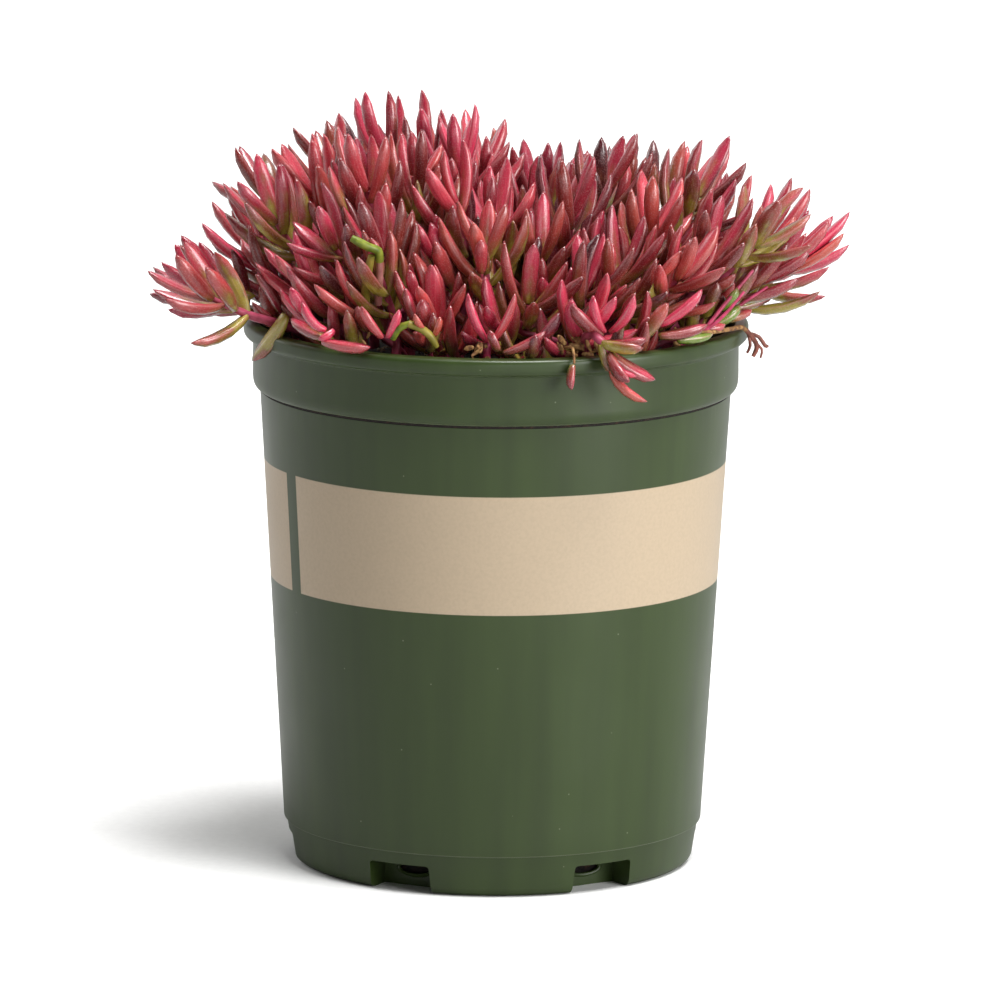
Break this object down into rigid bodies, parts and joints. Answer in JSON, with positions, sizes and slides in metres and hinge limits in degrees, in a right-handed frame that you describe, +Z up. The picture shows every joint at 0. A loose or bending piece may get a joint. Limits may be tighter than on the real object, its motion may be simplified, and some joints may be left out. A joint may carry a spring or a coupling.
{
  "type": "potted ice plant",
  "caption": "Bushy succulent with plump finger leaves in red, pink and olive, growing in soil in a tapered green plastic nursery pot with drain pockets at the foot.",
  "frame": {"origin": "middle of the pot's underside, on the surface it stands on", "axes": "+Z up along the pot's axis, the pictured front towards -Y, +X to the right of it"},
  "size_m": [0.2291, 0.1868, 0.2519],
  "materials": {
    "pot_plastic": "satin",
    "potting_soil": "matte",
    "leaf_flesh": "satin"
  },
  "bodies": {
    "root": {"pot": "pot_plastic", "soil": "potting_soil", "shoot_01": "leaf_flesh", "shoot_02": "leaf_flesh", "shoot_03": "leaf_flesh", "shoot_04": "leaf_flesh", "shoot_05": "leaf_flesh", "shoot_06": "leaf_flesh", "shoot_07": "leaf_flesh", "shoot_08": "leaf_flesh", "shoot_09": "leaf_flesh", "shoot_10": "leaf_flesh", "shoot_11": "leaf_flesh", "shoot_12": "leaf_flesh", "shoot_13": "leaf_flesh", "shoot_14": "leaf_flesh", "shoot_15": "leaf_flesh", "shoot_16": "leaf_flesh", "shoot_17": "leaf_flesh", "shoot_18": "leaf_flesh", "shoot_19": "leaf_flesh", "shoot_20": "leaf_flesh", "shoot_21": "leaf_flesh", "shoot_22": "leaf_flesh", "shoot_23": "leaf_flesh", "shoot_24": "leaf_flesh", "shoot_25": "leaf_flesh", "shoot_26": "leaf_flesh", "shoot_27": "leaf_flesh", "shoot_28": "leaf_flesh", "shoot_29": "leaf_flesh", "shoot_30": "leaf_flesh", "shoot_31": "leaf_flesh", "shoot_32": "leaf_flesh", "shoot_33": "leaf_flesh", "shoot_34": "leaf_flesh", "shoot_35": "leaf_flesh", "shoot_36": "leaf_flesh", "shoot_37": "leaf_flesh", "shoot_38": "leaf_flesh", "shoot_39": "leaf_flesh", "shoot_40": "leaf_flesh", "shoot_41": "leaf_flesh", "shoot_42": "leaf_flesh", "shoot_43": "leaf_flesh", "shoot_44": "leaf_flesh", "shoot_45": "leaf_flesh", "shoot_46": "leaf_flesh", "shoot_47": "leaf_flesh", "shoot_48": "leaf_flesh", "shoot_49": "leaf_flesh", "shoot_50": "leaf_flesh"}
  },
  "joints": []
}
